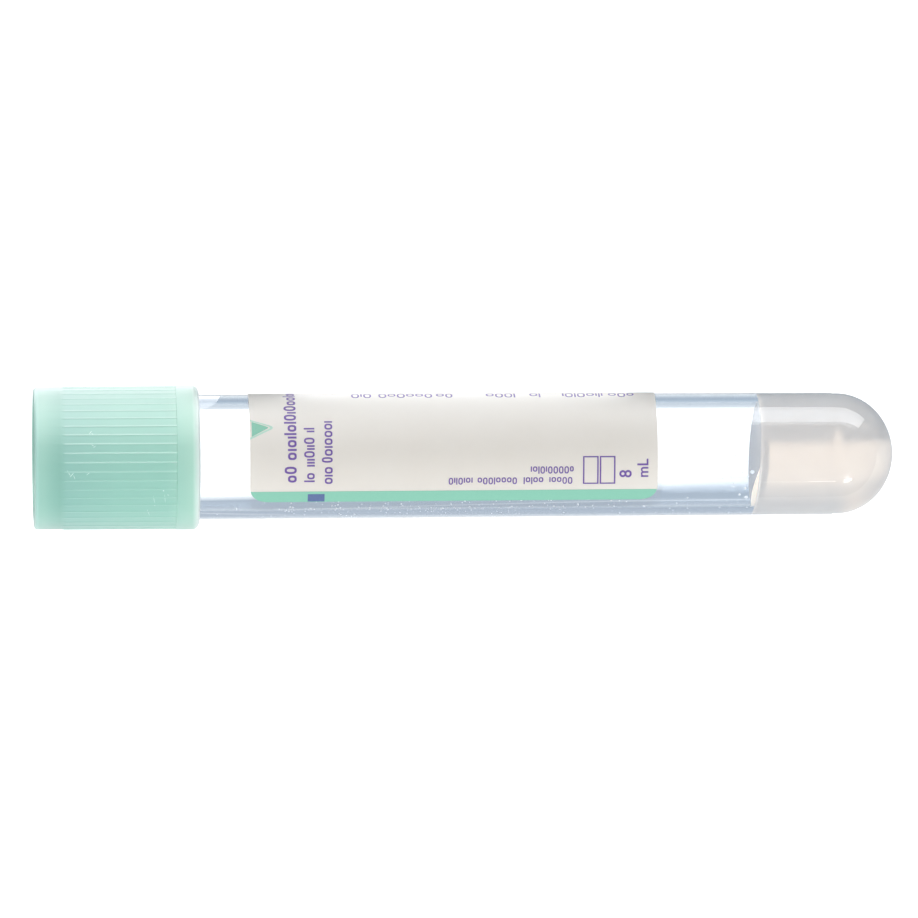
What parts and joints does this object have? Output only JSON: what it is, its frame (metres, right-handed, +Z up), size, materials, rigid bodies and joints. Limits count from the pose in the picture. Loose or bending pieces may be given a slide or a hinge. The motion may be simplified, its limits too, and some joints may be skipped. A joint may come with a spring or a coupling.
{
  "type": "blood collection tube",
  "caption": "Clear round-bottomed plastic blood collection tube lying on its side, with a ribbed mint cap, rubber stopper, paper label and separator gel.",
  "frame": {"origin": "centre of the bounding box, on the surface that the tube lies on", "axes": "+Z up, +X along the tube from the cap towards the round bottom, with the label's clear window facing -Y"},
  "size_m": [0.1106, 0.0186, 0.0187],
  "materials": {
    "tube_plastic": "clear, glossy, very slightly blue",
    "gel": "milky and glossy where it wets the wall",
    "label_paper": "coated white paper, satin",
    "shield_plastic": "translucent mint plastic, satin, finely ribbed",
    "stopper_rubber": "matte butyl rubber"
  },
  "bodies": {
    "tube": {"tube": "tube_plastic", "separator_gel": "gel", "label": "label_paper"},
    "closure": {"closure_shield": "shield_plastic", "rubber_stopper": "stopper_rubber"}
  },
  "joints": [
    {"name": "closure_pull", "type": "slide", "parent": "tube", "child": "closure", "axis": [-0.9998, 0, 0.0175], "range_m": [0, 0.03]}
  ]
}
